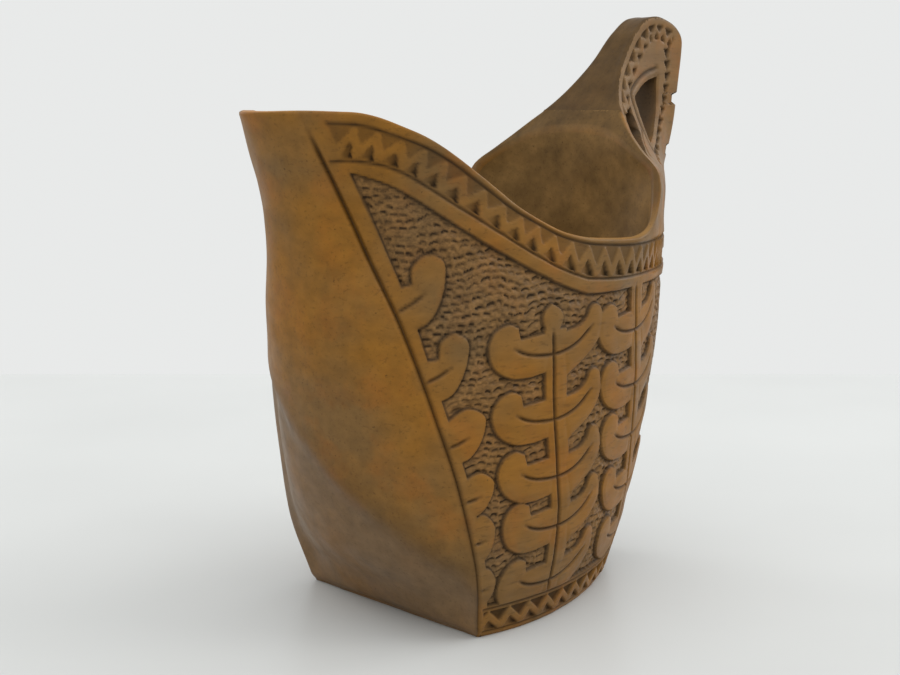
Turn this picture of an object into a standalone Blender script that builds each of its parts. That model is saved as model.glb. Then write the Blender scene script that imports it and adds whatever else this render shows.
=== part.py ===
"""Carved wooden drinking cup with a pouring prow and a pierced ear handle.

The cup is drawn the way a carver marks out a block: a lines plan gives the outline at each
height, and one side line gives the rim and the handle's back, front and top.

Frame: +Z up, prow towards -Y, handle towards +Y, the object symmetric about X = 0.
The lines are drawn in millimetres from the middle of the base's front edge. An empty then
carries everything so that the origin lies on the resting plane, under the bottom board.
"""

import math

import bmesh
import bpy
import numpy as np

MM = 0.001
OBJECT_NAME = "carved_cup"
ORIGIN_Y = 31.0         # from the base's front edge back to the object's origin

# ---- driving dimensions ---------------------------------------------------------------
WALL = 3.3              # thickness of the vessel's side wall
FIT_GAP = 0.3           # clearance kept between pieces that touch
BOTTOM_THICKNESS = 4.9  # let-in bottom board
FOOT_EDGE = 1.9         # wood left round the bottom board, at the foot
FLOOR_ROUND = 4.0       # how far the hollow's side turns in where it meets the bottom board
FLOOR_RISE = 14.0       # height over which it turns in, which leaves a ledge above the board
SEAT_Y = 66.0           # upright face that the handle is joined against
SEAT_Z = 62.0           # level shelf that the handle stands on
GROOVE_RADIUS = 0.9     # V-groove between the smooth prow and each carved side
FRONT_FULLNESS = 2.4    # above 2 the prow's face is flat in the middle and turns late

# ---- lines plan: where the half outline passes, at each height --------------------------
HEIGHTS = [0, 18, 35, 53, 71, 88, 100, 106, 112, 118, 124, 130, 141]
LINES = {
    # half width and Y of the groove at the prow's corner
    "corner_x": [28.9, 32.5, 31.1, 27.6, 22.2, 15.5, 12.9, 12.0, 10.8, 9.4, 9.4, 9.4, 9.4],
    "corner_y": [-0.8, -4.9, -8.5, -13.1, -17.2, -21.8, -26.7, -29.7, -32.3, -34.5, -35, -35, -35],
    # Y of the prow on the centre line
    "stem_y": [-0.9, -16.3, -22.8, -25.4, -28.6, -30.6, -32.8, -34.4, -36.6, -40, -42, -42, -42],
    # greatest half width, and the Y where it is reached
    "beam": [30.9, 34.5, 36.2, 37.0, 37.4, 37.4, 37.2, 37.0, 36.8, 36.6, 36.6, 36.6, 36.6],
    "beam_y": [14.2, 18.9, 22.4, 25.5, 31.0, 44, 49, 42, 36.5, 35.4, 35.4, 35.4, 35.4],
    # rear edge: its Y, its half thickness, and how full the flank in front of it is
    "rear_y": [70, 74.5, 78.5, 82.3, 86.2, 90.0, 95.0, 97.7, 99.6, 100.6, 101.6, 102.6, 104],
    "rear_x": [0.3, 0.3, 0.5, 1.0, 2.5, 3.8, 4, 4, 4, 4, 4, 3.9, 3.7],
    "fullness": [1.7, 1.8, 1.85, 1.85, 1.66, 1.28, 1.06, 0.9, 0.77, 0.64, 0.54, 0.47, 0.4],
    # the hollow's own rear end
    "hollow_y": [60, 61.6, 62.6, 62.8, 62.8, 62.8, 62.7, 62.5, 62.5, 62.5, 62.5, 62.5, 62.5],
    "hollow_fullness": [1.8, 1.9, 1.95, 2.0, 2.2, 2.4, 2.5, 2.5, 2.5, 2.5, 2.5, 2.5, 2.5],
}

# ---- side line: height of the rim and of the handle's outline at each Y -----------------
SIDE_Y = [-50, -41, -33, -27, -15, 0, 10, 21.5, 29.5, 42.5, 48.5, 53, 56.3, 58.4,
          61, 67.6, 76.5, 82.6, 88.2, 92.3, 96.7, 101.6, 103.2, 103.8]
SIDE_Z = [115.6, 115.6, 115.9, 115.7, 111.6, 102, 94.6, 89.1, 87.6, 87, 87.9, 90.2, 95, 102,
          108.3, 117.7, 128.7, 135.7, 139.2, 139.7, 138.8, 136.0, 132.5, 129.5]

# ---- piercings of the handle, as (Y, Z) corners -----------------------------------------
FINGER_HOLE = [(91.6, 124.2), (86.0, 122.6), (79.2, 118.8), (79.8, 106.9), (85.7, 109.4), (90.1, 115.4)]
POCKET = [(74.2, 116.2), (67.4, 113.6), (67.4, 105.6), (73.3, 109.8)]
POCKET_WEB = 4.0         # half thickness of wood left between the two pockets
NOTCH_Z = [105.0, 118.4]  # middle of each notch in the handle's rear edge
NOTCH_DEPTH = 3.4
NOTCH_HEIGHT = 2.8

# ---- the blocks that the pieces are sawn from, and the cutters' reach --------------------
BLOCK_TOP = 141.0       # just above the highest point of the side line
CLEAR = 10.0            # how far a cutter stands out beyond the wood
CLEAR_X = 50.0
CLEAR_Y = 130.0
CLEAR_Z = 160.0

# ---- how an inset outline keeps its wall even: its shift in Y for each millimetre of inset
CORNER_SHIFT = 0.75
STEM_SHIFT = 1.2

# ---- fineness of the lofts --------------------------------------------------------------
FRONT_STEPS = 8
SIDE_STEPS = 9
REAR_STEPS = 13
LEVEL_STEP = 6.0
SIDE_LINE_STEP = 2.0
REAR_TURN_Y = 98.0      # behind this the side line turns down and is drawn finer
REAR_TURN_STEP = 0.5


def smooth_curve(xs, ys):
    """A curve through the given points that never swings past them between two points."""
    xs = np.asarray(xs, float)
    ys = np.asarray(ys, float)
    steps = np.diff(xs)
    slopes = np.diff(ys) / steps
    tangents = np.zeros(len(xs))
    for i in range(1, len(xs) - 1):
        if slopes[i - 1] * slopes[i] > 0:
            before = 2 * steps[i] + steps[i - 1]
            after = steps[i] + 2 * steps[i - 1]
            tangents[i] = (before + after) / (before / slopes[i - 1] + after / slopes[i])
    tangents[0] = slopes[0]
    tangents[-1] = slopes[-1]

    def value(x):
        x = min(max(x, xs[0]), xs[-1])
        i = min(int(np.searchsorted(xs, x, side="right")) - 1, len(steps) - 1)
        t = (x - xs[i]) / steps[i]
        start = (1 + 2 * t) * (1 - t) ** 2 * ys[i] + t * (1 - t) ** 2 * steps[i] * tangents[i]
        end = t * t * (3 - 2 * t) * ys[i + 1] + t * t * (t - 1) * steps[i] * tangents[i + 1]
        return start + end

    return value


LINE_CURVES = {name: smooth_curve(HEIGHTS, offsets) for name, offsets in LINES.items()}
side_height = smooth_curve(SIDE_Y, SIDE_Z)


def outline_at(height, inset=0.0, hollow=False, stem_shift=STEM_SHIFT):
    """Closed outline at a height, counter-clockwise from the prow's centre, as (x, y) points."""
    line = {name: curve(height) for name, curve in LINE_CURVES.items()}
    corner_x = line["corner_x"] - inset
    corner_y = line["corner_y"] + CORNER_SHIFT * inset
    stem_y = line["stem_y"] + stem_shift * inset
    beam = line["beam"] - inset
    beam_y = line["beam_y"]
    rear_y = line["hollow_y"] + WALL - inset if hollow else line["rear_y"]
    rear_x = 0.0 if hollow else line["rear_x"]
    fullness = line["hollow_fullness"] if hollow else line["fullness"]

    half = []
    for i in range(FRONT_STEPS):
        t = i / FRONT_STEPS
        half.append((corner_x * t, stem_y + (corner_y - stem_y) * t ** FRONT_FULLNESS))
    start = math.acos(corner_x / beam)
    depth = (beam_y - corner_y) / math.sin(start)
    for i in range(SIDE_STEPS):
        angle = start * (1 - i / SIDE_STEPS)
        half.append((beam * math.cos(angle), beam_y - depth * math.sin(angle)))
    for i in range(REAR_STEPS + 1):
        t = math.sin(0.5 * math.pi * i / REAR_STEPS)
        spread = max(0.0, 1 - t ** fullness) ** (1 / fullness)
        half.append((rear_x + (beam - rear_x) * spread, beam_y + (rear_y - beam_y) * t))
    other_side = [(-x, y) for x, y in reversed(half[1:])]
    if hollow:
        # the hollow ends in one point on the centre line, and the wood in a narrow flat
        other_side = other_side[1:]
    return half + other_side


def loft(name, levels, outline):
    """A closed solid through the outline at each level, with flat ends."""
    mesh = bpy.data.meshes.new(name)
    bm = bmesh.new()
    rings = []
    for z in levels:
        rings.append([bm.verts.new((x * MM, y * MM, z * MM)) for x, y in outline(z)])
    for low, high in zip(rings, rings[1:]):
        for i in range(len(low)):
            j = (i + 1) % len(low)
            bm.faces.new((low[i], low[j], high[j], high[i]))
    bm.faces.new(list(reversed(rings[0])))
    bm.faces.new(rings[-1])
    bmesh.ops.triangulate(bm, faces=[f for f in bm.faces if len(f.verts) > 4])
    bm.to_mesh(mesh)
    bm.free()
    return bpy.data.objects.new(name, mesh)


def even_levels(low, high):
    count = math.ceil((high - low) / LEVEL_STEP)
    return [low + (high - low) * i / count for i in range(count + 1)]


def wood_block(name):
    """The block sawn to the lines plan, before the side line is cut."""
    return loft(name, even_levels(0, BLOCK_TOP), outline_at)


def plate(name, corners, low_x, high_x):
    """A flat piece with the given (Y, Z) outline, from low_x to high_x, as a mesh object."""
    curve = bpy.data.curves.new(name, "CURVE")
    curve.dimensions = "2D"
    curve.fill_mode = "BOTH"
    curve.extrude = 0.5 * (high_x - low_x) * MM
    spline = curve.splines.new("POLY")
    spline.points.add(len(corners) - 1)
    for point, (y, z) in zip(spline.points, corners):
        point.co = (y * MM, z * MM, 0, 1)
    spline.use_cyclic_u = True
    drawing = bpy.data.objects.new(name + "_outline", curve)
    bpy.context.scene.collection.objects.link(drawing)
    drawing.rotation_euler = (math.pi / 2, 0, math.pi / 2)
    drawing.location.x = 0.5 * (low_x + high_x) * MM
    bpy.context.view_layer.update()
    return curve_to_mesh(name, drawing)


def curve_to_mesh(name, drawing):
    """Turns a curve object into a closed mesh object in the same place."""
    evaluated = drawing.evaluated_get(bpy.context.evaluated_depsgraph_get())
    mesh = bpy.data.meshes.new_from_object(evaluated)
    bm = bmesh.new()
    bm.from_mesh(mesh)
    bmesh.ops.remove_doubles(bm, verts=bm.verts, dist=0.00002)
    bmesh.ops.recalc_face_normals(bm, faces=bm.faces)
    bm.to_mesh(mesh)
    bm.free()
    solid = bpy.data.objects.new(name, mesh)
    solid.matrix_world = drawing.matrix_world
    bpy.data.objects.remove(drawing)
    return solid


def side_line_plate():
    """Everything below the rim and inside the handle's outline, wider than the block."""
    ys = [*np.arange(SIDE_Y[0], REAR_TURN_Y, SIDE_LINE_STEP)]
    ys += [*np.arange(REAR_TURN_Y, SIDE_Y[-1], REAR_TURN_STEP), SIDE_Y[-1]]
    top = [(y, side_height(y)) for y in ys]
    behind = SIDE_Y[-1] + CLEAR
    corners = [(SIDE_Y[0], -CLEAR), *top, (behind, SIDE_Z[-1] - 0.5 * CLEAR), (behind, -CLEAR)]
    return plate("side_line", corners, -CLEAR_X, CLEAR_X)


def hollow_inset(height):
    """Thickness of the side wall: even, but for the rounded stretch just above the bottom."""
    rise = min((height - BOTTOM_THICKNESS) / FLOOR_RISE, 1.0)
    return WALL + FLOOR_ROUND * (1 - rise) ** 2


def hollow_core():
    """The space inside the vessel, from the top of the bottom board upwards."""
    round_top = BOTTOM_THICKNESS + FLOOR_RISE
    levels = even_levels(BOTTOM_THICKNESS, round_top)[:-1] + even_levels(round_top, BLOCK_TOP + CLEAR)
    return loft("hollow", levels, lambda z: outline_at(z, hollow_inset(z), hollow=True))


def bottom_outline(clearance):
    """The board's upright edge: it follows the foot on the resting plane, straight in front."""
    return lambda z: outline_at(0, FOOT_EDGE + clearance, hollow=True, stem_shift=CORNER_SHIFT)


def box(name, low, high):
    """A plain block between two corners."""
    bpy.ops.mesh.primitive_cube_add(size=1)
    block = bpy.context.active_object
    block.name = name
    size = [(end - start) * MM for start, end in zip(low, high)]
    middle = [0.5 * (start + end) * MM for start, end in zip(low, high)]
    for vertex in block.data.vertices:
        vertex.co = [vertex.co[i] * size[i] + middle[i] for i in range(3)]
    return block


def seat_block(name, clearance):
    """The corner above the seat, where the handle stands."""
    low = (-CLEAR_X, SEAT_Y + clearance, SEAT_Z + clearance)
    return box(name, low, (CLEAR_X, CLEAR_Y, CLEAR_Z))


def groove_cutter(name, side):
    """A square rod along the corner of the prow, on the +X side or the -X side."""
    curve = bpy.data.curves.new(name, "CURVE")
    curve.dimensions = "3D"
    curve.bevel_depth = GROOVE_RADIUS * MM
    curve.bevel_resolution = 0
    curve.use_fill_caps = True
    levels = even_levels(-CLEAR, BLOCK_TOP)
    spline = curve.splines.new("POLY")
    spline.points.add(len(levels) - 1)
    for point, z in zip(spline.points, levels):
        x = side * LINE_CURVES["corner_x"](z)
        y = LINE_CURVES["corner_y"](z)
        point.co = (x * MM, y * MM, z * MM, 1)
    drawing = bpy.data.objects.new(name + "_line", curve)
    bpy.context.scene.collection.objects.link(drawing)
    bpy.context.view_layer.update()
    return curve_to_mesh(name, drawing)


def notch_cutter(index, z):
    rear_y = LINE_CURVES["rear_y"](z)
    low = (-CLEAR_X, rear_y - NOTCH_DEPTH, z - 0.5 * NOTCH_HEIGHT)
    high = (CLEAR_X, rear_y + CLEAR, z + 0.5 * NOTCH_HEIGHT)
    return box(f"notch_{index + 1}", low, high)


def cut(target, tool, operation="DIFFERENCE"):
    modifier = target.modifiers.new(f"{operation.lower()}_{tool.name}", "BOOLEAN")
    modifier.operation = operation
    modifier.solver = "EXACT"
    modifier.object = tool


def wood(name, colour, roughness):
    material = bpy.data.materials.new(name)
    material.use_nodes = True
    shader = material.node_tree.nodes["Principled BSDF"]
    shader.inputs["Base Color"].default_value = (*colour, 1)
    shader.inputs["Roughness"].default_value = roughness
    shader.inputs["Metallic"].default_value = 0.0
    return material


def make_cup_body(tools):
    """The vessel's wall, from the foot to the rim, with the prow and the handle's seat."""
    body = wood_block("cup_body")
    cut(body, tools["side_line"], "INTERSECT")
    cut(body, tools["hollow"])
    cut(body, tools["bottom_rebate"])
    cut(body, tools["seat"])
    cut(body, tools["groove_right"])
    cut(body, tools["groove_left"])
    body.data.materials.append(wood("body_wood", (0.33, 0.17, 0.06), 0.45))
    return body


def make_handle(tools):
    """The pierced ear: smooth towards the drinker, thin at the top, notched at the back."""
    handle = wood_block("handle")
    cut(handle, tools["side_line"], "INTERSECT")
    cut(handle, tools["handle_room"], "INTERSECT")
    cut(handle, tools["finger_hole"])
    cut(handle, tools["pocket_right"])
    cut(handle, tools["pocket_left"])
    for index in range(len(NOTCH_Z)):
        cut(handle, tools[f"notch_{index + 1}"])
    handle.data.materials.append(wood("handle_wood", (0.28, 0.16, 0.08), 0.5))
    return handle


def make_cup_bottom():
    """The board let in from below, flush with the foot."""
    board = loft("cup_bottom", [0, BOTTOM_THICKNESS], bottom_outline(FIT_GAP))
    board.data.materials.append(wood("bottom_wood", (0.25, 0.14, 0.06), 0.6))
    return board


def make_tools():
    room = BOTTOM_THICKNESS + FIT_GAP
    solids = [
        side_line_plate(),
        hollow_core(),
        loft("bottom_rebate", [-CLEAR, room], bottom_outline(0)),
        seat_block("seat", 0),
        seat_block("handle_room", FIT_GAP),
        groove_cutter("groove_right", 1),
        groove_cutter("groove_left", -1),
        plate("finger_hole", FINGER_HOLE, -CLEAR_X, CLEAR_X),
        plate("pocket_right", POCKET, POCKET_WEB, CLEAR_X),
        plate("pocket_left", POCKET, -CLEAR_X, -POCKET_WEB),
    ]
    solids += [notch_cutter(index, z) for index, z in enumerate(NOTCH_Z)]
    return {solid.name: solid for solid in solids}


def into_collection(name, objects):
    collection = bpy.data.collections.new(name)
    bpy.context.scene.collection.children.link(collection)
    for item in objects:
        for old in list(item.users_collection):
            old.objects.unlink(item)
        collection.objects.link(item)


def main():
    for old in list(bpy.data.objects):
        bpy.data.objects.remove(old)
    tools = make_tools()
    for tool in tools.values():
        tool.hide_render = True
        tool.display_type = "WIRE"
    parts = [make_cup_body(tools), make_handle(tools), make_cup_bottom()]
    into_collection(OBJECT_NAME, parts)
    into_collection("cutters", tools.values())
    origin = bpy.data.objects.new("cup_origin", None)
    origin.location.y = -ORIGIN_Y * MM
    bpy.context.scene.collection.objects.link(origin)
    for item in [*parts, *tools.values()]:
        item.parent = origin
    for part in parts:
        part.data.shade_smooth()
        part.data.set_sharp_from_angle(angle=math.radians(35))


main()
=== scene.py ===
"""Carved wooden drinking cup: the fine surface, materials, light and camera.

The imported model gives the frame. Three pieces stand for its three nodes, and each repeats the
lines plan of the wood with the knife work on it. Everything is drawn in millimetres from the
middle of the base's front edge, as the CAD model is, and placed by place().

On a carved flank a point is known by its column, its height z, its Y, and its distance from
the groove along the outline at its height, called along. Depths are positive into the wood.
"""

import math

import bmesh
import bpy
import numpy as np
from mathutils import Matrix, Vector


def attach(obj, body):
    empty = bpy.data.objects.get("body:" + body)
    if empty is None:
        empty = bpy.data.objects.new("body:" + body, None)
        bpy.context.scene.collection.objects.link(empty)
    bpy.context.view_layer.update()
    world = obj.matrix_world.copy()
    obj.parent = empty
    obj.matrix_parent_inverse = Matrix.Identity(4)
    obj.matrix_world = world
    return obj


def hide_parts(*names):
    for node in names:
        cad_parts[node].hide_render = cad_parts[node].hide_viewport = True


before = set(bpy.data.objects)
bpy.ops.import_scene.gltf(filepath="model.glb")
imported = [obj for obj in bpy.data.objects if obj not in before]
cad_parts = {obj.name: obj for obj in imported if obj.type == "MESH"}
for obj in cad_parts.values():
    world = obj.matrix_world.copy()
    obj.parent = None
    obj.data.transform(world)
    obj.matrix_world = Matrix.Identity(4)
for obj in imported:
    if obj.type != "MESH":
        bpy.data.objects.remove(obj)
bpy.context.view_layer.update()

MM = 0.001

# ---- the CAD model's driving dimensions ---------------------------------------------------
ORIGIN_Y = 31.0
TOP_LEVEL = 141.0
WALL = 3.3
BOTTOM_THICKNESS = 4.9
FIT_GAP = 0.3
FOOT_EDGE = 1.9
FLOOR_ROUND = 4.0
FLOOR_RISE = 14.0
SEAT_Y = 66.0
SEAT_Z = 62.0
FRONT_FULLNESS = 2.4
CORNER_SHIFT = 0.75
STEM_SHIFT = 1.2

HEIGHTS = [0, 18, 35, 53, 71, 88, 100, 106, 112, 118, 124, 130, 141]
LINES = {
    "corner_x": [28.9, 32.5, 31.1, 27.6, 22.2, 15.5, 12.9, 12.0, 10.8, 9.4, 9.4, 9.4, 9.4],
    "corner_y": [-0.8, -4.9, -8.5, -13.1, -17.2, -21.8, -26.7, -29.7, -32.3, -34.5, -35, -35, -35],
    "stem_y": [-0.9, -16.3, -22.8, -25.4, -28.6, -30.6, -32.8, -34.4, -36.6, -40, -42, -42, -42],
    "beam": [30.9, 34.5, 36.2, 37.0, 37.4, 37.4, 37.2, 37.0, 36.8, 36.6, 36.6, 36.6, 36.6],
    "beam_y": [14.2, 18.9, 22.4, 25.5, 31.0, 44, 49, 42, 36.5, 35.4, 35.4, 35.4, 35.4],
    "rear_y": [70, 74.5, 78.5, 82.3, 86.2, 90.0, 95.0, 97.7, 99.6, 100.6, 101.6, 102.6, 104],
    "rear_x": [0.3, 0.3, 0.5, 1.0, 2.5, 3.8, 4, 4, 4, 4, 4, 3.9, 3.7],
    "fullness": [1.7, 1.8, 1.85, 1.85, 1.66, 1.28, 1.06, 0.9, 0.77, 0.64, 0.54, 0.47, 0.4],
    "hollow_y": [60, 61.6, 62.6, 62.8, 62.8, 62.8, 62.7, 62.5, 62.5, 62.5, 62.5, 62.5, 62.5],
    "hollow_fullness": [1.8, 1.9, 1.95, 2.0, 2.2, 2.4, 2.5, 2.5, 2.5, 2.5, 2.5, 2.5, 2.5],
}
SIDE_Y = [-50, -41, -33, -27, -15, 0, 10, 21.5, 29.5, 42.5, 48.5, 53, 56.3, 58.4,
          61, 67.6, 76.5, 82.6, 88.2, 92.3, 96.7, 101.6, 103.2, 103.8]
SIDE_Z = [115.6, 115.6, 115.9, 115.7, 111.6, 102, 94.6, 89.1, 87.6, 87, 87.9, 90.2, 95, 102,
          108.3, 117.7, 128.7, 135.7, 139.2, 139.7, 138.8, 136.0, 132.5, 129.5]
FINGER_HOLE = [(91.6, 124.2), (86.0, 122.6), (79.2, 118.8), (79.8, 106.9), (85.7, 109.4), (90.1, 115.4)]
POCKET = [(74.2, 116.2), (67.4, 113.6), (67.4, 105.6), (73.3, 109.8)]
POCKET_WEB = 4.0
NOTCH_Z = [105.0, 118.4]
NOTCH_DEPTH = 3.4
NOTCH_HEIGHT = 2.8

# ---- the knife work -----------------------------------------------------------------------
RELIEF = 0.85           # depth of the ground below the leaves and bands
GROOVE_DEPTH = 0.8      # V-groove at the prow's corners
GROOVE_HALF = 0.85
GROOVE_FADE = 7.0       # it dies out this far below the rim
LINE_DEPTH = 0.55       # incised lines
LINE_HALF = 0.55
RIBBON_HALF = 0.72      # half the width of the raised zigzag ribbons
EDGE_DROP = 0.35        # wear on the rim's and the handle's edges
EDGE_REACH = 1.0
FOOT_DROP = 0.8         # the foot's edge is rounder
FOOT_REACH = 2.4
LOW_POINT_Y = 42.5      # behind this the rim's band runs on level, under the handle
LOW_POINT_Z = 87.0
FOOT_BAND = 7.2         # height of the band round the foot
FOOT_RIBBON = (1.4, 6.4)  # heights between which it is cut in teeth
FOOT_LINES = (1.1, 6.9)
GROOVE_BORDER = 2.7     # the carved panel's plain borders, beside the groove and at the rear edge
REAR_BORDER = 2.8
MARK_HEIGHT = 1.6       # spacing of the ground's gouge marks
MARK_LENGTH = 2.4

# the band under the rim at some Y: distances from the rim to the lower edge of its plain strip,
# to the line under the zigzag and to the band's lower edge
BAND_Y = [-29, -20, -5, 5, 14, 26, 45]
STRIP_FALL = [2.6, 2.7, 1.7, 1.5, 1.1, 1.4, 1.8]
LINE_FALL = [10.5, 8.7, 8.1, 7.2, 7.5, 9.0, 9.0]
BAND_FALL = [12.4, 11.7, 11.3, 10.5, 10.7, 12.3, 11.4]
LINE_GAP = 0.4          # between the zigzag and its line
RIM_TOOTH = 5.0
# how many teeth have passed at a distance along the rim: they get shorter towards the rear
TOOTH_TRAVEL = [0, 12.9, 52.4, 85.6, 130]
TOOTH_COUNT = [-1.5, 0.5, 7.5, 14.5, 24.5]
HANDLE_STRIP = 2.0      # the same band on the handle
HANDLE_LINE = 6.2
HANDLE_TOOTH = 4.6
FOOT_TOOTH = 6.1

# the pared facet low on the prow: its depth, its crest's height on the centre line, and how far
# the crest falls for each millimetre across
FACET_DEPTH = 1.7
FACET_MIDDLE = 43.0
FACET_FALL = 0.80

# on the ear, as (Y, Z): the row of chips behind the finger hole and the corner sunk in front of it
CHIP_ROW = [(95.8, 131.5), (96.0, 125.0), (95.0, 119.7), (93.4, 115.4), (91.0, 110.8),
            (86.0, 106.0), (76.0, 102.6)]
CHIP_STEP = 3.1
HOLE_GROOVE = 2.2       # from the finger hole to the groove round it
EAR_CORE = 0.9          # half the thickness that no cut goes into
SUNK_CORNER = [(74.2, 116.2), (67.6, 114.0), (64.0, 109.4), (64.2, 104.0), (73.3, 109.8)]
SUNK_DEPTH = 2.2
BAR_LINE = [(77.0, 117.0), (76.2, 110.5), (68.5, 104.6)]

# a leaf lobe: strokes that meet at corners, across from the stem and up from its vein
LOBE_FRONT = [
    [(1.0, 4.6), (-2.3, 4.6), (-8.7, 3.8)],
    [(-8.7, 3.8), (-9.2, 6.4)],
    [(-9.2, 6.4), (-11.6, 7.2), (-14.6, 6.0), (-16.4, 3.4), (-16.6, 0.6), (-15.1, -2.4),
     (-11.5, -4.3), (-7.0, -4.5), (-2.3, -3.8)],
    [(-2.3, -3.8), (1.0, -3.8)],
]
LOBE_REAR = [
    [(1.0, 4.2), (3.9, 4.7), (8.0, 5.6), (10.4, 7.4), (11.6, 9.3), (13.2, 10.0), (14.8, 9.2),
     (15.5, 6.8), (15.2, 3.6), (12.8, 0.6), (9.5, -1.9), (5.5, -4.1), (3.9, -5.2)],
    [(3.9, -5.2), (1.0, -5.2)],
]
VEIN = [(-10.6, 2.0), (-8.0, 0.8), (-5.0, 0.15), (0.0, 0.0), (4.0, 0.7), (8.0, 2.4), (12.0, 5.4)]
STEM_FRONT = -2.3       # the stem is a strip between these, with an incised line at 0
STEM_REAR = 3.9
LEAVES = [
    # (Z, Y) points that the stem passes, and the heights of its veins
    {"stem": [(0, 17.5), (7, 18.5), (23, 19.0), (38, 17.2), (53, 15.7), (80, 15.3)],
     "veins": [63.0, 48.3, 35.0, 23.2, 10.0], "top": 68.4},
    {"stem": [(0, 55.5), (24, 52.5), (36, 49.8), (50, 48.3), (64, 46.3), (80, 44.6)],
     "veins": [65.0, 51.6, 38.9, 25.5, 12.3], "top": 76.0},
]
BUD = [
    [(0.0, 5.6), (2.4, 4.2), (3.1, 2.2), (1.9, 0.0), (1.9, -0.6)],
    [(1.9, -0.6), (-1.9, -0.6)],
    [(-1.9, -0.6), (-1.9, 0.0), (-2.6, 2.2), (-1.9, 4.2), (0.0, 5.6)],
]

# half leaves that spring from a border: foot and top where they leave it, and their reach
NOTCHED_LEAF = [
    [(0.0, 1.0), (0.42, 0.80)],
    [(0.42, 0.80), (0.54, 1.14), (0.82, 1.18), (1.0, 0.82), (0.88, 0.40), (0.66, 0.03), (0.42, -0.18),
     (0.18, -0.16), (0.0, 0.0)],
]
ROUND_LEAF = [
    [(0.0, 0.92), (0.30, 1.16), (0.70, 1.22), (1.0, 0.84), (0.93, 0.44), (0.68, 0.06), (0.36, -0.14),
     (0.0, 0.0)],
]
ROUND_REACH = 12.0      # half leaves shorter than this are round
HALF_VEIN = [(0.0, 0.45), (0.28, 0.42), (0.54, 0.44)]
GROOVE_LEAVES = [(70.2, 78.0, 15.6), (55.3, 63.0, 13.2), (41.6, 48.6, 11.2), (29.8, 36.0, 8.8),
                 (20.0, 27.2, 6.8), (9.6, 15.8, 5.0)]
REAR_LEAVES = [(61.0, 68.5, 12.0), (46.5, 54.0, 12.0), (32.5, 39.5, 11.0), (19.5, 26.0, 9.5)]

# ---- the camera and the table (metres and degrees) ------------------------------------------
CAMERA_PLACE = (0.2486, -0.2562, 0.1180)
CAMERA_LENS = 59.28
CAMERA_BEARING = 45.5
CAMERA_PITCH = 9.105
TABLE_SIZE = 5.0
TABLE_EDGE = 0.279      # from the cup to the table's far edge

# ---- fineness of the meshes ---------------------------------------------------------------
FRONT_COLUMNS = 22
CORNER_CROWDING = 1.7   # the prow's columns stand closer towards its corner
FLANK_COLUMNS = 255
REAR_COLUMNS = 56
STRIP_COLUMNS = 4
LOW_ROWS = 232
HIGH_ROWS = 112
HOLLOW_ROWS = 40
RIM_ROWS = 9
HANDLE_COLUMNS = 96
HANDLE_ROWS = 185
HANDLE_ACROSS = 18


# ---- curves -------------------------------------------------------------------------------
def smooth_curve(xs, ys):
    """The CAD model's curve through points, for whole arrays."""
    xs = np.asarray(xs, float)
    ys = np.asarray(ys, float)
    steps = np.diff(xs)
    slopes = np.diff(ys) / steps
    tangents = np.zeros(len(xs))
    for i in range(1, len(xs) - 1):
        if slopes[i - 1] * slopes[i] > 0:
            before = 2 * steps[i] + steps[i - 1]
            after = steps[i] + 2 * steps[i - 1]
            tangents[i] = (before + after) / (before / slopes[i - 1] + after / slopes[i])
    tangents[0] = slopes[0]
    tangents[-1] = slopes[-1]

    def value(x):
        x = np.clip(x, xs[0], xs[-1])
        i = np.clip(np.searchsorted(xs, x, side="right") - 1, 0, len(steps) - 1)
        t = (x - xs[i]) / steps[i]
        start = (1 + 2 * t) * (1 - t) ** 2 * ys[i] + t * (1 - t) ** 2 * steps[i] * tangents[i]
        end = t * t * (3 - 2 * t) * ys[i + 1] + t * t * (t - 1) * steps[i] * tangents[i + 1]
        return start + end

    return value


LINE_CURVES = {name: smooth_curve(HEIGHTS, offsets) for name, offsets in LINES.items()}
side_height = smooth_curve(SIDE_Y, SIDE_Z)


def side_slope(y):
    return (side_height(y + 0.05) - side_height(y - 0.05)) / 0.1


def worn_height(y, drop):
    """The side line, lowered by a distance measured square to it."""
    return side_height(y) - drop * np.sqrt(1 + side_slope(y) ** 2)


def path_lengths(points):
    """How far along a line of points each one is."""
    return np.r_[0, np.cumsum(np.linalg.norm(np.diff(points, axis=0), axis=1))]


def smooth_step(low, high, value):
    t = np.clip((value - low) / (high - low), 0, 1)
    return t * t * (3 - 2 * t)


def stroke_points(points, fineness=6):
    """A smooth curve through a few points (Catmull-Rom), as more points."""
    if len(points) < 3:
        return [np.array(p, float) for p in points]
    ends = [2 * np.array(points[0], float) - points[1], 2 * np.array(points[-1], float) - points[-2]]
    path = [ends[0], *[np.array(p, float) for p in points], ends[1]]
    smooth = []
    for a, b, c, d in zip(path, path[1:], path[2:], path[3:]):
        for i in range(fineness):
            t = i / fineness
            smooth.append(0.5 * (2 * b + (c - a) * t + (2 * a - 5 * b + 4 * c - d) * t * t
                                 + (3 * b - a - 3 * c + d) * t ** 3))
    return smooth + [path[-2]]


def closed_outline(strokes):
    points = []
    for stroke in strokes:
        points += stroke_points(stroke)[:-1]
    return np.array(points)


# ---- distances on a flank -----------------------------------------------------------------
def line_distance(u, v, line):
    """Distance from each point to an open line, and how far along the line its foot is."""
    best = np.full(u.shape, np.inf)
    place_on_line = np.zeros(u.shape)
    travelled = 0.0
    for (u0, v0), (u1, v1) in zip(line, line[1:]):
        du, dv = u1 - u0, v1 - v0
        length = math.hypot(du, dv)
        t = np.clip(((u - u0) * du + (v - v0) * dv) / length ** 2, 0, 1)
        away = np.hypot(u - u0 - t * du, v - v0 - t * dv)
        nearer = away < best
        best[nearer] = away[nearer]
        place_on_line[nearer] = travelled + t[nearer] * length
        travelled += length
    return best, place_on_line


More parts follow.
